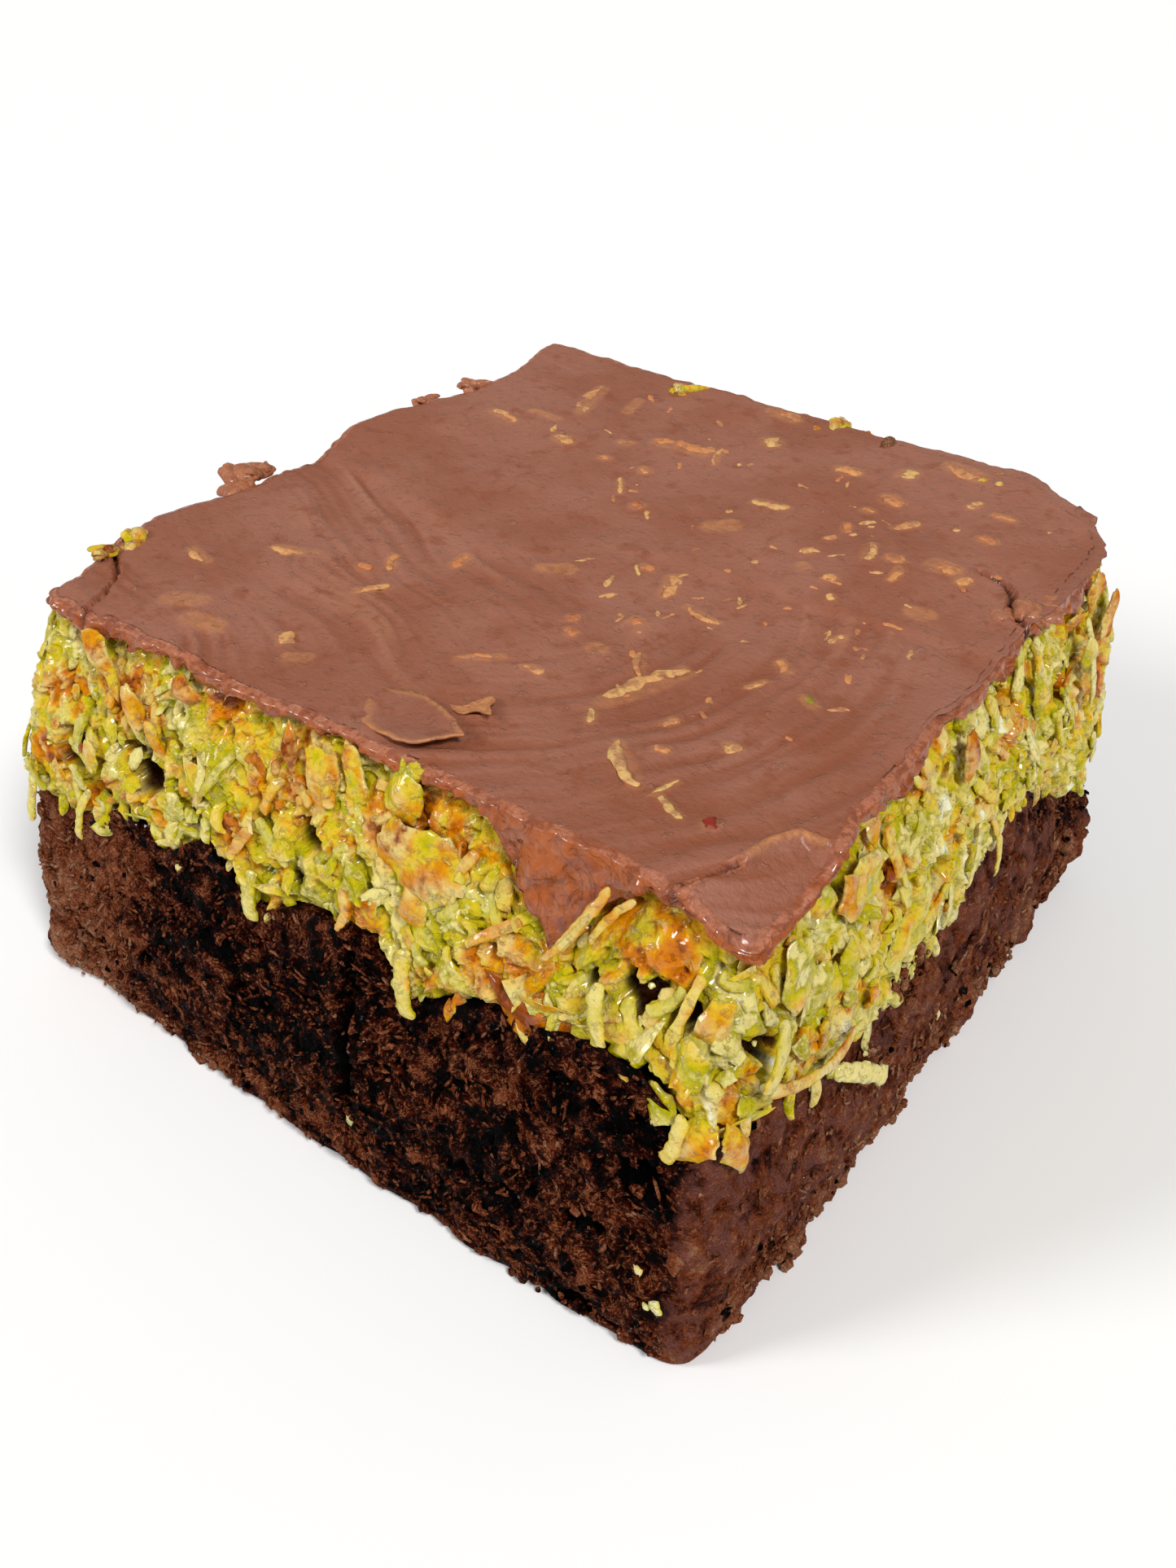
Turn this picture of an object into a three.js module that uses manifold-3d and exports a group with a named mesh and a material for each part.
// A pistachio kunafa brownie: a square bar cut from a tray bake, in three layers. A dense chocolate
// brownie carries a thick filling of crisp kunafa shreds in pistachio cream, and a thin slab of milk
// chocolate lies on top, hanging over the filling in a few drips. X runs along the front-left face, Y
// along the front-right face and Z up, in millimetres, with the origin under the middle of the bar.
import * as THREE from "three";
import { mergeVertices } from "three/addons/utils/BufferGeometryUtils.js";
import Module from "manifold-3d";

const wasm = await Module();
wasm.setup();

// Driving dimensions
const HEIGHT = 40.8; // from the table to the top of the chocolate
const CHOCOLATE_THICKNESS = 1.8;
const LAYER_GAP = 0.3; // free space between two layers
const FOOT_FLAT_INSET = 1.3; // how far the flat underside stays inside the foot
const FOOT_ROUND = 0.9; // height of the rounded edge round the underside
const BASE_BELLY = 0.9; // how far the sides of the brownie swell at half height
const CRAG = 0.75; // height of the crags on the brownie's cut sides
const FILLING_BULGE = 1.2; // how far the filling swells out between its neighbours
const LUMP = 0.8; // height of the lumps on the filling
const CORE_SLACK = 0.1; // further room between the filling's body and the chocolate
const SKIRT_THICKNESS = 1.3; // thickness of the chocolate where it hangs over the side
const SKIRT_FLARE = 0.32; // how far a drip leans out for each millimetre that it hangs
const WAVE = 0.35; // height of the waves on the chocolate

// Plan corners of each level in the order left, front, right, back, with the radius of the corners,
// how far each face bows outwards, and the number of steps along a face
const FOOT = {
  corners: [[-39.6, -39], [39.1, -41.9], [35.8, 34.8], [-37.4, 38.6]], radius: 4, bows: [1, 0.4, 1, 1], steps: 20,
};
const SHOULDER = {
  corners: [[-38.9, -37.8], [38, -38.8], [35.6, 34.2], [-36.8, 37]], radius: 3, bows: [0.6, 0.3, 0.6, 0.6], steps: 20,
};
const FILLING_FOOT = {
  corners: [[-39, -38], [38.6, -38.6], [36.6, 34.8], [-37, 37.4]], radius: 3, bows: [0.6, 0.3, 0.6, 0.6], steps: 20,
};
const FILLING_TOP = {
  corners: [[-36, -33.4], [36, -33], [34.2, 31.6], [-34.8, 34.8]], radius: 3, bows: [0.3, 0.3, 0.3, 0.3], steps: 20,
};
const SLAB = {
  corners: [[-36.8, -34.4], [37.4, -34.2], [34.6, 36.8], [-35.6, 37.4]], radius: 2, bows: [0, 0, 0, 0], steps: 20,
};
const MIDDLE = [-0.28, -1.14]; // of the whole bar's box, in the plan's own coordinates

// The seam between brownie and filling along each face: share of the way along it, and height
const SEAM = [
  [[0, 21.5], [0.1, 19.5], [0.2, 24], [0.27, 22.5], [0.34, 26], [0.41, 22], [0.48, 24.5], [0.57, 25.5],
    [0.63, 21.5], [0.74, 25], [0.89, 27.5], [0.96, 24], [1, 23]],
  [[0, 23], [0.13, 20], [0.26, 16], [0.4, 17], [0.52, 18.5], [0.62, 23], [0.72, 22.5], [0.8, 19.5], [0.88, 14.5],
    [1, 15.5]],
  [[0, 15.5], [0.2, 19], [0.45, 23.5], [0.7, 21], [0.85, 24], [1, 22.5]],
  [[0, 22.5], [0.25, 20], [0.5, 24], [0.7, 21], [0.85, 24.5], [1, 21.5]],
];
const SEAM_MIDDLE = 22.5; // inside the bar, where the seam is level

// Drips of chocolate: the face, the share of the way along it, half width and how far it hangs
const DRIPS = [
  { face: 0, at: 0.79, half: 7.5, drop: 8.4 },
  { face: 0, at: 1, half: 5, drop: 3.6 },
  { face: 0, at: 0.1, half: 5, drop: 1.2 },
  { face: 1, at: 0.3, half: 6, drop: 1.4 },
  { face: 1, at: 0.58, half: 5, drop: 1.8 },
  { face: 1, at: 0.78, half: 6, drop: 2.4 },
  { face: 2, at: 0.36, half: 6, drop: 2.2 },
  { face: 2, at: 0.8, half: 5, drop: 1.4 },
  { face: 3, at: 0.45, half: 7, drop: 2.8 },
  { face: 3, at: 0.85, half: 6, drop: 1.6 },
];

// Where the rim of the chocolate stands out (or in, where negative) of a straight line
const LOBES = [
  { face: 1, at: 0.12, half: 7, reach: 0.9 },
  { face: 1, at: 1, half: 9, reach: -3 },
  { face: 2, at: 0.05, half: 8, reach: -1.6 },
  { face: 3, at: 0.16, half: 9, reach: -2.4 },
  { face: 3, at: 0.41, half: 6, reach: 1.2 },
  { face: 3, at: 0.27, half: 6, reach: -0.8 },
  { face: 3, at: 0.8, half: 10, reach: 1.7 },
  { face: 3, at: 1, half: 6, reach: -0.9 },
];

// The crack down the brownie's front-left face: where it starts and ends, and its width and depth
const CRACK = { share: 0.555, low: 4, high: 25, width: 1.4, depth: 3, kinks: 6, wander: 0.5 };

// Hollows in the brownie's sides and crumbs that stand out of them: face, share along it, height, radius
const PITS = [
  [0, 0.13, 7, 1.8], [0, 0.4, 13, 1.5], [0, 0.79, 10.5, 1.7], [0, 0.92, 16.5, 2], [0, 0.87, 2.5, 1.8],
  [1, 0.57, 12, 2], [1, 0.22, 7, 1.5], [2, 0.3, 8, 1.8], [2, 0.62, 14, 1.6], [3, 0.25, 12, 1.8], [3, 0.6, 6, 1.7],
];
const CRUMBS = [
  [0, 0.04, 3, 2], [0, 0.55, 2.5, 1.5], [1, 0.12, 12, 1.9], [1, 0.47, 13, 2.4], [1, 0.62, 2.6, 2],
  [1, 0.8, 3.4, 2.5], [1, 0.97, 6, 2.6], [2, 0.2, 3, 2.1], [2, 0.8, 2.6, 2], [3, 0.3, 3, 2], [3, 0.72, 2.6, 1.9],
];

// Lumps on the rim of the chocolate: place in plan, and radius
const RIM_LUMPS = [
  [-37.6, -8.4, 2.2], [-36.4, -23, 1.3], [1.8, 37, 1.9], [9, 35.6, 1.9], [-15.6, 35.2, 1.5], [33.6, 13.4, 2],
  [-34.6, 22.6, 1.4],
];

// The flake of chocolate that lifts off the front-left rim: its root, its width and its length
const LEAF = { x: 3.4, y: -30.2, width: 5.6, length: 9.5, thickness: 0.5, turn: -0.5, lift: 0.12 };

// Shreds of kunafa
const SHRED_SIDES = 4;
const SHRED_STEPS = 2;
const SHRED_FLATNESS = 0.7; // thickness over width
const SHRED_COUNT = 64; // on the sides of the filling
const SHRED_RADIUS = [1.2, 0.6]; // of the first and of the last one
const SHRED_LENGTH = [12, 5];
const SHRED_BAND = [20.5, 36.5]; // heights of their middles
const TOPPING_COUNT = 10; // on the chocolate
const TOPPING_RADIUS = [0.62, 0.42];
const TOPPING_LENGTH = [8, 2.6];

// Shreds that stand out by themselves: face, share and height of both ends, radius, and how far the
// first and last end stand off the side
const LOOSE_SHREDS = [
  { face: 1, from: [0.24, 18], to: [0.38, 7.5], radius: 0.8, proud: [0.6, 2] },
  { face: 1, from: [0.05, 26.5], to: [0.29, 18.5], radius: 0.75, proud: [1.2, 1.2] },
  { face: 0, from: [0.03, 25], to: [0.015, 15.5], radius: 0.75, proud: [0, 1.7] },
  { face: 0, from: [0.13, 25], to: [0.11, 17], radius: 0.7, proud: [0, 1.7] },
  { face: 1, from: [0.58, 26], to: [0.6, 17.5], radius: 0.6, proud: [0.3, 1.6] },
  { face: 0, from: [0.4, 25.5], to: [0.41, 20], radius: 1, proud: [0, 1.4] },
  { face: 0, from: [0.84, 37], to: [0.81, 31.5], radius: 0.8, proud: [2, 1.7] },
];

// Flakes of pastry that lie on the sides: face, share along it, height, width, length, turn in radians
const FLAKES = [
  { face: 0, at: 0.63, height: 34.3, width: 8, length: 12.5, turn: 1.25 },
  { face: 0, at: 0.79, height: 26.3, width: 5, length: 10, turn: 1.4 },
  { face: 0, at: 0.49, height: 36, width: 3.6, length: 6.5, turn: 0.3 },
  { face: 0, at: 0.13, height: 37, width: 3.2, length: 7.5, turn: 0.6 },
  { face: 0, at: 0.92, height: 35, width: 5, length: 9, turn: 1.7 },
  { face: 1, at: 0.1, height: 32, width: 4.5, length: 7, turn: 0.3 },
  { face: 1, at: 0.24, height: 34, width: 5, length: 7, turn: 1.3 },
  { face: 1, at: 0.38, height: 24, width: 4.2, length: 9, turn: -0.9 },
  { face: 2, at: 0.3, height: 32, width: 4.5, length: 8, turn: 0.9 },
  { face: 2, at: 0.7, height: 30, width: 5, length: 8, turn: -0.6 },
  { face: 3, at: 0.35, height: 33, width: 4.5, length: 8, turn: 1.1 },
  { face: 3, at: 0.7, height: 29, width: 5, length: 9, turn: 0.2 },
];
const FLAKE_THICKNESS = 0.9;
const FLAKE_CORNERS = 7;
const FLAKE_LEAN = 0.14; // radians out of the side
const SPREAD = [0.7549, 0.5698]; // steps that spread things evenly in two directions, as shares of 1

// How many rings the layers have from bottom to top, and steps round a corner
const BASE_LEVELS = 6;
const FILLING_LEVELS = 5;
const CORNER_STEPS = 3;

// Colours of the layers
const COLOURS = { brownie: 0x3a1c12, filling: 0xb9a13c, chocolate: 0x94604b };

// A repeatable random number from 0 to 1, by the mulberry32 rule.
function seededRandom(seed) {
  let state = seed;
  return () => {
    state = (state + 0x6d2b79f5) | 0;
    let t = Math.imul(state ^ (state >>> 15), 1 | state);
    t = (t + Math.imul(t ^ (t >>> 7), 61 | t)) ^ t;
    return ((t ^ (t >>> 14)) >>> 0) / 4294967296;
  };
}

// A fixed value from -1 to 1 for each point of a whole-number lattice.
function latticeValue(i, j, k) {
  let h = Math.imul(i, 374761393) ^ Math.imul(j, 668265263) ^ Math.imul(k, 2147483647);
  h = Math.imul(h ^ (h >>> 13), 1274126177);
  return (((h ^ (h >>> 16)) >>> 0) / 4294967295) * 2 - 1;
}

// Smooth noise from -1 to 1: lattice values blended over the cell that holds the point.
function noise(x, y, z) {
  const [i, j, k] = [x, y, z].map(Math.floor);
  const [u, v, w] = [x - i, y - j, z - k].map((f) => f * f * (3 - 2 * f));
  const mix = THREE.MathUtils.lerp;
  const row = (b, c) => mix(latticeValue(i, b, c), latticeValue(i + 1, b, c), u);
  const sheet = (c) => mix(row(j, c), row(j + 1, c), v);
  return mix(sheet(k), sheet(k + 1), w);
}

// Rough ground: a broad swell with a finer one on it. Size is the wavelength of the broad one.
function rough(x, y, z, size, seed) {
  const broad = noise(x / size + seed, y / size, z / size);
  const fine = noise((2.1 * x) / size, (2.1 * y) / size + seed, (2.1 * z) / size);
  return 0.7 * broad + 0.3 * fine;
}

// The corner of a plan, counted round and round.
function cornerOf(plan, number) {
  return new THREE.Vector2(...plan.corners[number % 4]);
}

// The closed outline of a plan: rounded corners joined by faces that bow outwards. Each point knows its
// face and the share of the way along that face.
function outline(plan) {
  const { radius, bows, steps } = plan;
  const points = [];
  for (let face = 0; face < 4; face++) {
    const [start, end, next] = [0, 1, 2].map((ahead) => cornerOf(plan, face + ahead));
    const run = end.clone().sub(start);
    const length = run.length();
    const along = run.divideScalar(length);
    const outward = new THREE.Vector2(along.y, -along.x);
    for (let i = 0; i < steps; i++) {
      const t = i / steps;
      const share = (radius + t * (length - 2 * radius)) / length;
      const p = start.clone().addScaledVector(along, share * length);
      p.addScaledVector(outward, bows[face] * 4 * t * (1 - t));
      points.push({ p, face, share });
    }
    const turned = next.clone().sub(end).normalize();
    const arc = new THREE.QuadraticBezierCurve(
      end.clone().addScaledVector(along, -radius),
      end,
      end.clone().addScaledVector(turned, radius),
    );
    for (let i = 0; i < CORNER_STEPS; i++) {
      const t = i / CORNER_STEPS;
      const reach = radius / length;
      const share = t < 0.5 ? 1 - reach * (1 - 2 * t) : reach * (2 * t - 1);
      points.push({ p: arc.getPoint(t), face: t < 0.5 ? face : (face + 1) % 4, share });
    }
  }
  const n = points.length;
  points.forEach((point, i) => {
    const run = points[(i + 1) % n].p.clone().sub(points[(i + n - 1) % n].p).normalize();
    point.outward = new THREE.Vector2(run.y, -run.x);
  });
  return points;
}

const FOOT_LINE = outline(FOOT);
const SHOULDER_LINE = outline(SHOULDER);
const FILLING_FOOT_LINE = outline(FILLING_FOOT);
const FILLING_TOP_LINE = outline(FILLING_TOP);
const SLAB_LINE = outline(SLAB);

// Height on a smooth curve through points of share and height, at a share of the way along a face.
function heightAlong(points, share) {
  const curve = new THREE.SplineCurve(points.map(([t, z]) => new THREE.Vector2(t, z)));
  let [low, high] = [0, 1];
  for (let i = 0; i < 24; i++) {
    const middle = (low + high) / 2;
    if (curve.getPoint(middle).x < share) low = middle;
    else high = middle;
  }
  return curve.getPoint(low).y;
}

// Height of the seam between brownie and filling at each point of an outline
const SEAM_HEIGHT = FOOT_LINE.map(({ face, share }) => heightAlong(SEAM[face], share));

// How near a point is to a place on the rim of the chocolate, from 0 at half the place's width to 1.
function nearness({ face, at, half }, point) {
  const centre = cornerOf(SLAB, face).lerp(cornerOf(SLAB, face + 1), at);
  return Math.max(0, 1 - point.distanceTo(centre) / half);
}

// How far the rim of the chocolate stands out at a point of its plan.
function rimReach(p) {
  const lobes = LOBES.map((lobe) => lobe.reach * Math.sin((nearness(lobe, p) * Math.PI) / 2));
  return lobes.reduce((sum, reach) => sum + reach, 0.5 * rough(p.x, p.y, 0, 6, 5.9));
}

// How far the chocolate's ragged rim and its drips hang below its underside at a point of its plan.
function rimHang(p) {
  const drips = DRIPS.map((drip) => drip.drop * nearness(drip, p) ** 0.8);
  return 0.2 + 0.35 * rough(p.x, p.y, 0, 4, 3.1) + Math.max(...drips);
}

// A ring of 3-D points: an outline moved outwards by push, at the height that level gives, where both
// are functions of the outline's point and its number.
function ring(line, push, level) {
  return line.map((point, i) => {
    const p = point.p.clone().addScaledVector(point.outward, push(point, i));
    return new THREE.Vector3(p.x, p.y, level(point, i, p));
  });
}

// A ring of 3-D points: an outline drawn in towards the middle of the bar to a share of its size.
function innerRing(line, share, level) {
  return line.map((point, i) => {
    const p = point.p.clone().multiplyScalar(share);
    return new THREE.Vector3(p.x, p.y, level(point, i, p));
  });
}

// A ring between two outlines at a share k of the way from the first to the second.
function between(first, second, k, push, level) {
  const line = first.map((point, i) => ({
    ...point,
    p: point.p.clone().lerp(second[i].p, k),
    outward: point.outward.clone().lerp(second[i].outward, k).normalize(),
  }));
  return ring(line, push, level);
}

// A closed solid through a stack of rings with the same number of points, from the lowest to the
// highest on the outside. Each end closes on the middle of its ring.
function loft(rings) {
  const n = rings[0].length;
  const centre = (points) => points.reduce((sum, p) => sum.add(p), new THREE.Vector3()).divideScalar(n);
  const vertices = [...rings.flat(), centre(rings[0]), centre(rings.at(-1))];
  const triangles = [];
  const [bottom, top] = [rings.length * n, rings.length * n + 1];
  const last = (rings.length - 1) * n;
  for (let i = 0; i < n; i++) {
    const j = (i + 1) % n;
    triangles.push(bottom, j, i, top, last + i, last + j);
    for (let r = 0; r + 1 < rings.length; r++) {
      const [a, b, c, d] = [r * n + i, r * n + j, (r + 1) * n + j, (r + 1) * n + i];
      triangles.push(a, b, c, a, c, d);
    }
  }
  const geometry = new THREE.BufferGeometry().setFromPoints(vertices);
  geometry.setIndex(triangles);
  return geometry;
}

// A three.js geometry as a manifold-3d solid, once its shared vertices are merged.
function solidOf(geometry) {
  const bare = geometry.clone();
  bare.deleteAttribute("normal");
  bare.deleteAttribute("uv");
  const merged = mergeVertices(bare, 1e-4);
  return new wasm.Manifold(
    new wasm.Mesh({
      numProp: 3,
      vertProperties: new Float32Array(merged.attributes.position.array),
      triVerts: new Uint32Array(merged.index.array),
    }),
  );
}

// A manifold-3d solid as a three.js geometry.
function geometryOf(solid) {
  const { numProp, vertProperties, triVerts, numVert } = solid.getMesh();
  const positions = new Float32Array(numVert * 3);
  for (let i = 0; i < numVert; i++) {
    positions.set(vertProperties.subarray(i * numProp, i * numProp + 3), i * 3);
  }
  const geometry = new THREE.BufferGeometry();
  geometry.setAttribute("position", new THREE.BufferAttribute(positions, 3));
  geometry.setIndex([...triVerts]);
  geometry.computeVertexNormals();
  return geometry;
}

// The largest of a solid's separate pieces, which drops scraps that a cut leaves.
function largestPiece(solid) {
  return solid.decompose().reduce((best, piece) => (piece.volume() > best.volume() ? piece : best));
}

// A lump of crumb: a twenty-sided ball whose size differs along its three axes.
function crumbSolid(centre, radius, random) {
  const ball = new THREE.IcosahedronGeometry(radius, 0);
  ball.scale(0.8 + 0.5 * random(), 0.8 + 0.5 * random(), 0.6 + 0.4 * random());
  ball.rotateX(random()).rotateZ(random() * Math.PI).translate(centre.x, centre.y, centre.z);
  return solidOf(ball);
}

// The swell of the brownie's side at a share k of its height.
function belly(k) {
  return BASE_BELLY * Math.sin(Math.PI * Math.min(1, k * 1.1));
}

// The block of the brownie layer: a craggy one on a flat underside, wider at its foot, whose top follows
// the seam. Grow moves its sides and top outwards, for the room that the filling leaves round it.
function brownieBlock(grow) {
  const crag = (p, z) => CRAG * rough(p.x, p.y, z, 4.8, 7.3);
  const rings = [
    ring(FOOT_LINE, () => grow - FOOT_FLAT_INSET, () => 0),
    ring(FOOT_LINE, ({ p }) => grow + crag(p, 0), () => FOOT_ROUND),
  ];
  const seam = (i) => SEAM_HEIGHT[i] - LAYER_GAP / 2 + grow;
  for (let level = 1; level <= BASE_LEVELS; level++) {
    const k = level / BASE_LEVELS;
    const height = (i) => FOOT_ROUND + (seam(i) - FOOT_ROUND) * k;
    const inset = level === BASE_LEVELS ? 0.6 : 0;
    const push = ({ p }, i) => grow + belly(k) + crag(p, SEAM_HEIGHT[i] * k) - inset;
    rings.push(between(FOOT_LINE, SHOULDER_LINE, k, push, (_, i) => height(i)));
  }
  const inner = SEAM_MIDDLE - LAYER_GAP / 2 + grow;
  rings.push(innerRing(SHOULDER_LINE, 0.9, (_, i) => (seam(i) + inner) / 2));
  rings.push(innerRing(SHOULDER_LINE, 0.78, () => inner));
  return solidOf(loft(rings));
}

// A point on the side of the brownie at a share along a face and a height.
function browniePlace(face, share, height) {
  const k = height / SEAM_MIDDLE;
  const low = cornerOf(FOOT, face).lerp(cornerOf(FOOT, face + 1), share);
  const high = cornerOf(SHOULDER, face).lerp(cornerOf(SHOULDER, face + 1), share);
  const run = cornerOf(FOOT, face + 1).sub(cornerOf(FOOT, face)).normalize();
  const spot = low.lerp(high, k).addScaledVector(new THREE.Vector2(run.y, -run.x), belly(k));
  return new THREE.Vector3(spot.x, spot.y, height);
}

// The crack: a jagged blade that stands upright across the front-left face.
function crackBlade() {
  const random = seededRandom(5);
  const { share, low, high, width, depth, kinks, wander } = CRACK;
  const centre = browniePlace(0, share, 0);
  const sides = [[], []];
  for (let i = 0; i <= kinks; i++) {
    const height = low + ((high - low) * i) / kinks;
    const middle = centre.x + wander * (2 * random() - 1);
    const open = 0.15 + 0.85 * Math.sin((Math.PI * i) / kinks) * random();
    sides[0].push(new THREE.Vector2(middle + (width * open) / 2, height));
    sides[1].unshift(new THREE.Vector2(middle - (width * open) / 2, height));
  }
  const blade = new THREE.ExtrudeGeometry(new THREE.Shape(sides.flat()), { depth: 2 * depth, bevelEnabled: false });
  blade.rotateX(Math.PI / 2).translate(0, centre.y - BASE_BELLY + depth, 0);
  return solidOf(blade);
}

// The brownie layer: its block with the crack and the pits cut out and the crumbs joined on.
function brownieSolid() {
  const random = seededRandom(23);
  let solid = brownieBlock(0);
  for (const [face, share, height, radius] of CRUMBS) {
    solid = solid.add(crumbSolid(browniePlace(face, share, height), radius, random));
  }
  for (const [face, share, height, radius] of PITS) {
    solid = solid.subtract(crumbSolid(browniePlace(face, share, height), radius, random));
  }
  return largestPiece(solid.subtract(crackBlade()));
}

// Height of the chocolate's top at a point of the plan.
function chocolateTop(p) {
  return HEIGHT - WAVE + WAVE * rough(p.x, p.y, 0, 14, 2.7);
}

// The chocolate slab: a waved top, a rounded rim, and a skirt that hangs over the side as far as its
// drips reach. Grow thickens it all over, for the room that the filling leaves round it.
function chocolateSlab(grow) {
  const reach = SLAB_LINE.map(({ p }) => rimReach(p));
  const hang = SLAB_LINE.map(({ p }) => rimHang(p));
  const shoulder = HEIGHT - 0.7;
  const underside = HEIGHT - CHOCOLATE_THICKNESS - grow;
  const lip = (i) => underside - hang[i];
  const push = (out, lean) => (_, i) => reach[i] + out + lean * SKIRT_FLARE * hang[i];
  const wall = (k) => (_, i) => shoulder + (lip(i) - shoulder) * k;
  return solidOf(
    loft([
      innerRing(SLAB_LINE, 0.8, () => underside),
      ring(SLAB_LINE, push(-SKIRT_THICKNESS - 0.9 - grow, 0), () => underside),
      ring(SLAB_LINE, push(-SKIRT_THICKNESS - grow, 1), (_, i) => Math.min(underside - 0.05, lip(i) + 0.4)),
      ring(SLAB_LINE, push(grow - 0.3, 1), (_, i) => lip(i)),
      ring(SLAB_LINE, push(grow + 0.2, 0.6), wall(0.6)),
      ring(SLAB_LINE, push(grow + 0.1, 0), wall(0)),
      ring(SLAB_LINE, push(grow - 0.8, 0), (_, i, p) => chocolateTop(p) - 0.1),
      innerRing(SLAB_LINE, 0.82, (_, i, p) => chocolateTop(p)),
      innerRing(SLAB_LINE, 0.45, (_, i, p) => chocolateTop(p)),
    ]),
  );
}

// The body of the filling before shreds are laid on it: from the seam up to the chocolate and its drips.
function fillingCore() {
  const lump = (p, z) => LUMP * rough(p.x, p.y, z, 4.6, 11.4);
  const foot = (i) => SEAM_HEIGHT[i] + LAYER_GAP / 2;
  const inner = SEAM_MIDDLE + LAYER_GAP / 2;
  const ceiling = HEIGHT - CHOCOLATE_THICKNESS - LAYER_GAP;
  const head = FILLING_TOP_LINE.map(({ p }) => ceiling - rimHang(p) - CORE_SLACK);
  const rings = [
    innerRing(SHOULDER_LINE, 0.78, () => inner),
    innerRing(SHOULDER_LINE, 0.9, (_, i) => (foot(i) + inner) / 2),
  ];
  for (let level = 0; level <= FILLING_LEVELS; level++) {
    const k = level / FILLING_LEVELS;
    const height = (i) => foot(i) + (head[i] - foot(i)) * k;
    const swell = FILLING_BULGE * Math.sin(Math.PI * k);
    const push = ({ p }, i) => swell + lump(p, height(i));
    rings.push(between(FILLING_FOOT_LINE, FILLING_TOP_LINE, k, push, (_, i) => height(i)));
  }
  rings.push(innerRing(FILLING_TOP_LINE, 0.92, () => ceiling - CORE_SLACK));
  return solidOf(loft(rings));
}

// A point on the side of the filling, with the directions along the face, up it and out of it.
function fillingPlace(face, share, height) {
  const k = Math.max(0, (height - SEAM_MIDDLE) / (HEIGHT - SEAM_MIDDLE));
  const low = cornerOf(FILLING_FOOT, face).lerp(cornerOf(FILLING_FOOT, face + 1), share);
  const high = cornerOf(FILLING_TOP, face).lerp(cornerOf(FILLING_TOP, face + 1), share);
  const spot = low.clone().lerp(high, k);
  const run = cornerOf(FILLING_TOP, face + 1).sub(cornerOf(FILLING_TOP, face)).normalize();
  const along = new THREE.Vector3(run.x, run.y, 0);
  const up = new THREE.Vector3(high.x - low.x, high.y - low.y, HEIGHT - SEAM_MIDDLE).normalize();
  const out = along.clone().cross(up).normalize();
  const at = new THREE.Vector3(spot.x, spot.y, height);
  at.addScaledVector(out, FILLING_BULGE * Math.sin(Math.PI * k));
  return { at, along, up, out };
}

// A shred: a few-sided bar swept along a bent path through three points.
function shredSolid(start, middle, end, radius) {
  const section = new THREE.Shape();
  for (let i = 0; i < SHRED_SIDES; i++) {
    const angle = (i / SHRED_SIDES) * 2 * Math.PI;
    section[i ? "lineTo" : "moveTo"](radius * Math.cos(angle), SHRED_FLATNESS * radius * Math.sin(angle));
  }
  section.closePath();
  const path = new THREE.QuadraticBezierCurve3(start, middle, end);
  return solidOf(
    new THREE.ExtrudeGeometry(section, { steps: SHRED_STEPS, extrudePath: path, bevelEnabled: false }),
  );
}

// Shreds spread evenly round the sides of the filling, the largest first, each half sunk in it.
function sideShreds() {
  const random = seededRandom(41);
  const shreds = [];
  for (let i = 0; i < SHRED_COUNT; i++) {
    const size = i / (SHRED_COUNT - 1);
    const round = (4 * ((i * SPREAD[0]) % 1) + 0.1 * random()) % 4;
    const share = THREE.MathUtils.clamp(round % 1, 0.04, 0.96);
    const height = THREE.MathUtils.lerp(...SHRED_BAND, (i * SPREAD[1]) % 1);
    const { at, along, up, out } = fillingPlace(Math.floor(round), share, height);
    const length = THREE.MathUtils.lerp(...SHRED_LENGTH, size) * (0.8 + 0.4 * random());
    const turn = (random() - 0.5) * 2.6;
    const heading = up.clone().multiplyScalar(Math.cos(turn)).addScaledVector(along, Math.sin(turn));
    const half = heading.addScaledVector(out, 0.3 * (random() - 0.5)).normalize().multiplyScalar(length / 2);
    if (height + half.z > HEIGHT - 1) half.multiplyScalar((HEIGHT - 1 - height) / half.z);
    const bend = at.clone().addScaledVector(out, 0.3 + 0.9 * random());
    const radius = THREE.MathUtils.lerp(...SHRED_RADIUS, size);
    shreds.push(shredSolid(at.clone().sub(half), bend, at.clone().add(half), radius));
  }
  return shreds;
}

// The shreds that stand out by themselves.
function looseShreds() {
  return LOOSE_SHREDS.map(({ face, from, to, radius, proud }) => {
    const ends = [from, to].map((place, i) => {
      const { at, out } = fillingPlace(face, ...place);
      return at.addScaledVector(out, proud[i]);
    });
    const { out } = fillingPlace(face, ...from);
    const bend = ends[0].clone().lerp(ends[1], 0.5).addScaledVector(out, 0.8);
    return shredSolid(ends[0], bend, ends[1], radius);
  });
}

// Flat flakes of pastry: thin plates with uneven corners, lying on the sides of the filling.
function sideFlakes() {
  const random = seededRandom(77);
  return FLAKES.map(({ face, at: share, height, width, length, turn }) => {
    const shape = new THREE.Shape();
    for (let i = 0; i < FLAKE_CORNERS; i++) {
      const angle = (i / FLAKE_CORNERS) * 2 * Math.PI;
      const reach = 0.41 + 0.15 * random();
      shape[i ? "lineTo" : "moveTo"](width * reach * Math.cos(angle), length * reach * Math.sin(angle));
    }
    shape.closePath();
    const plate = new THREE.ExtrudeGeometry(shape, { depth: FLAKE_THICKNESS, bevelEnabled: false });
    const { at, along, up, out } = fillingPlace(face, share, height);
    const frame = new THREE.Matrix4().makeBasis(along, up, out).setPosition(at);
    plate.rotateZ(turn).rotateX(FLAKE_LEAN).applyMatrix4(frame);
    return solidOf(plate);
  });
}

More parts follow.
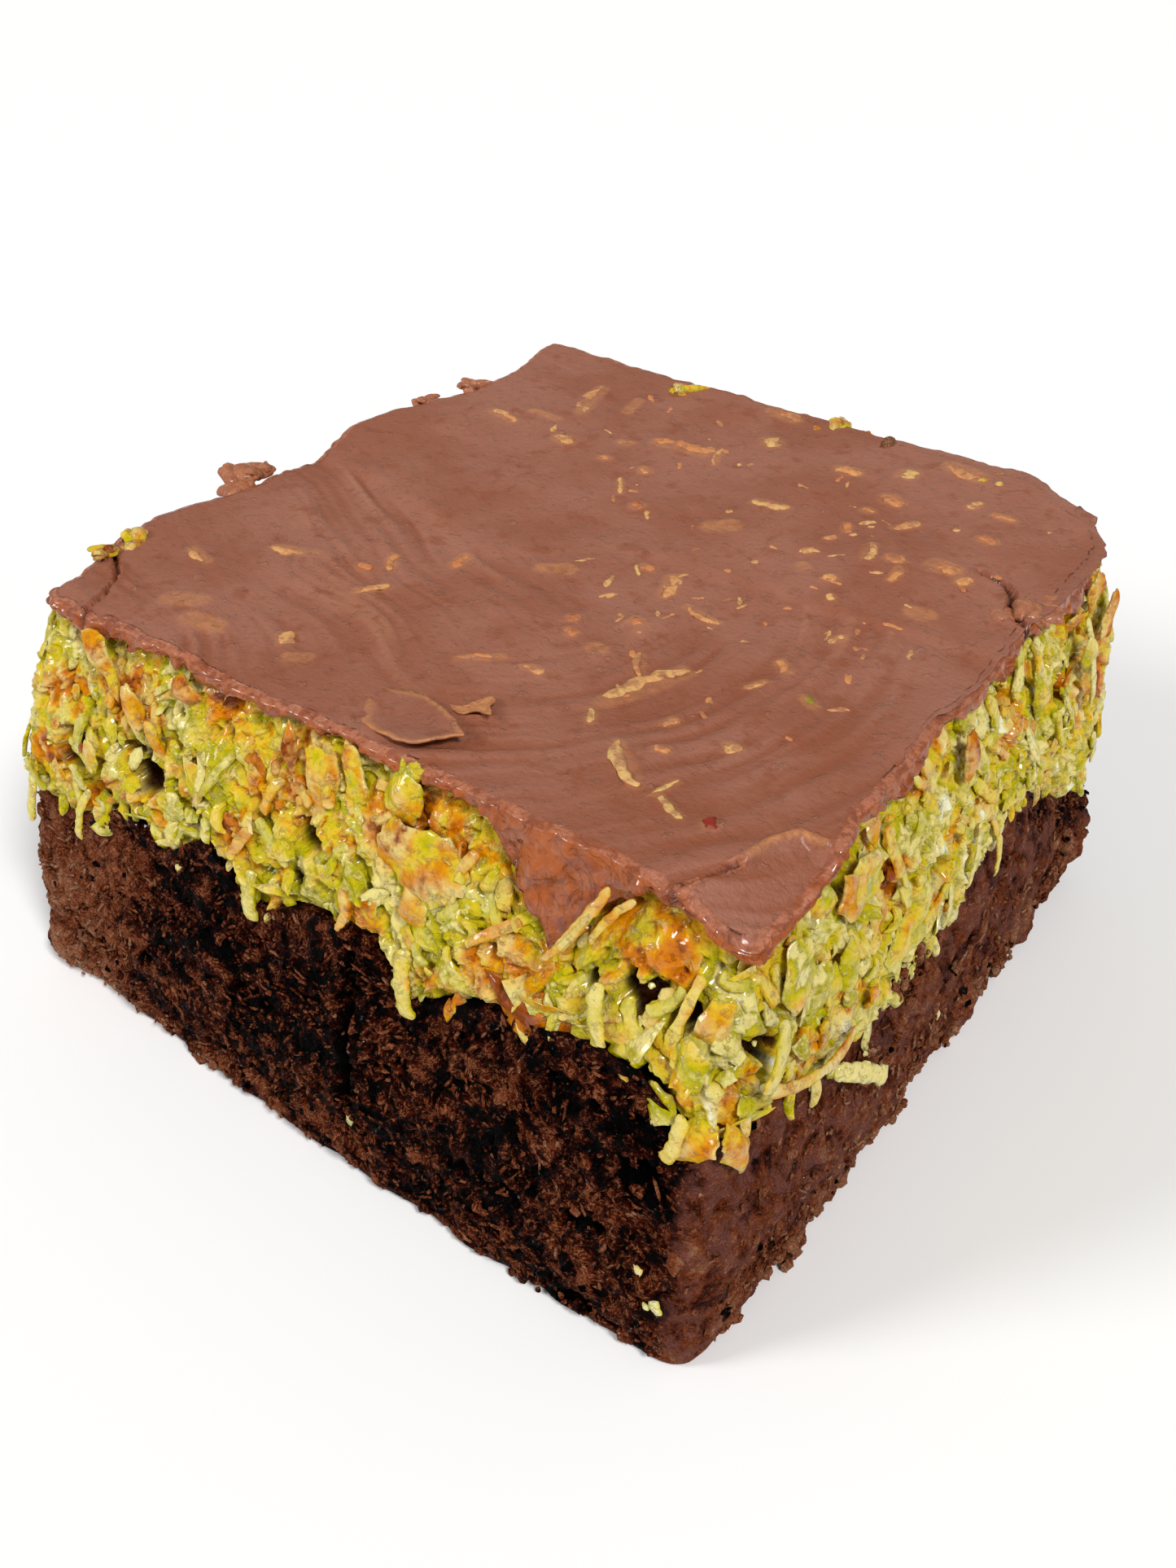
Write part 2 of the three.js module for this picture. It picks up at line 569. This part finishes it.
// The filling: its core with shreds and flakes joined on, trimmed to leave a gap to both neighbours.
function fillingSolid() {
  let solid = fillingCore();
  for (const piece of [...sideShreds(), ...looseShreds(), ...sideFlakes()]) solid = solid.add(piece);
  for (const piece of [brownieBlock(LAYER_GAP), chocolateSlab(LAYER_GAP), ...rimLumps(LAYER_GAP)]) {
    solid = solid.subtract(piece);
  }
  return largestPiece(solid);
}

// The flake of chocolate that lifts off the rim: a thin pointed plate.
function leafSolid() {
  const { x, y, width, length, thickness, turn, lift } = LEAF;
  const shape = new THREE.Shape();
  shape.moveTo(-length / 2, 0);
  shape.quadraticCurveTo(-length / 4, width / 2, length / 4, width / 3);
  shape.lineTo(length / 2, 0);
  shape.quadraticCurveTo(0, -width / 3, -length / 2, 0);
  const plate = new THREE.ExtrudeGeometry(shape, { depth: thickness, bevelEnabled: false, curveSegments: 4 });
  plate.rotateY(-lift).rotateZ(turn).translate(x, y, HEIGHT - WAVE + 0.2);
  return solidOf(plate);
}

// The lumps on the rim of the chocolate, each larger all round by grow.
function rimLumps(grow) {
  const random = seededRandom(61);
  return RIM_LUMPS.map(([x, y, radius]) => {
    const centre = new THREE.Vector3(x, y, HEIGHT - CHOCOLATE_THICKNESS / 2);
    return crumbSolid(centre, radius + 1.5 * grow, random);
  });
}

// The chocolate slab with its lifting flake, the lumps on its rim and the largest of the shreds that
// stand out of its top.
function chocolateSolid() {
  const random = seededRandom(19);
  let solid = chocolateSlab(0);
  for (const piece of [leafSolid(), ...rimLumps(0)]) solid = solid.add(piece);
  for (let i = 0; i < TOPPING_COUNT; i++) {
    const size = i / (TOPPING_COUNT - 1);
    const [x, y] = SPREAD.map((step) => 60 * (((i + 0.5) * step) % 1) - 29);
    const turn = random() * Math.PI;
    const reach = THREE.MathUtils.lerp(...TOPPING_LENGTH, size) / 2;
    const radius = THREE.MathUtils.lerp(...TOPPING_RADIUS, size);
    const half = new THREE.Vector3(Math.cos(turn), Math.sin(turn), 0).multiplyScalar(reach);
    const centre = new THREE.Vector3(x, y, chocolateTop({ x, y }) - 0.1);
    const bend = centre.clone().add(new THREE.Vector3(-half.y, half.x, 0).multiplyScalar(0.3));
    solid = solid.add(shredSolid(centre.clone().sub(half), bend, centre.clone().add(half), radius));
  }
  return largestPiece(solid);
}

// One named layer as a mesh.
function layer(name, solid, color, roughness) {
  const material = new THREE.MeshStandardMaterial({ color, roughness, metalness: 0 });
  const mesh = new THREE.Mesh(geometryOf(solid), material);
  mesh.name = name;
  return mesh;
}

const bar = new THREE.Group();
bar.position.set(-MIDDLE[0], -MIDDLE[1], 0);
bar.add(layer("brownie_base", brownieSolid(), COLOURS.brownie, 0.85));
bar.add(layer("kunafa_filling", fillingSolid(), COLOURS.filling, 0.6));
bar.add(layer("chocolate_top", chocolateSolid(), COLOURS.chocolate, 0.45));

export default bar;
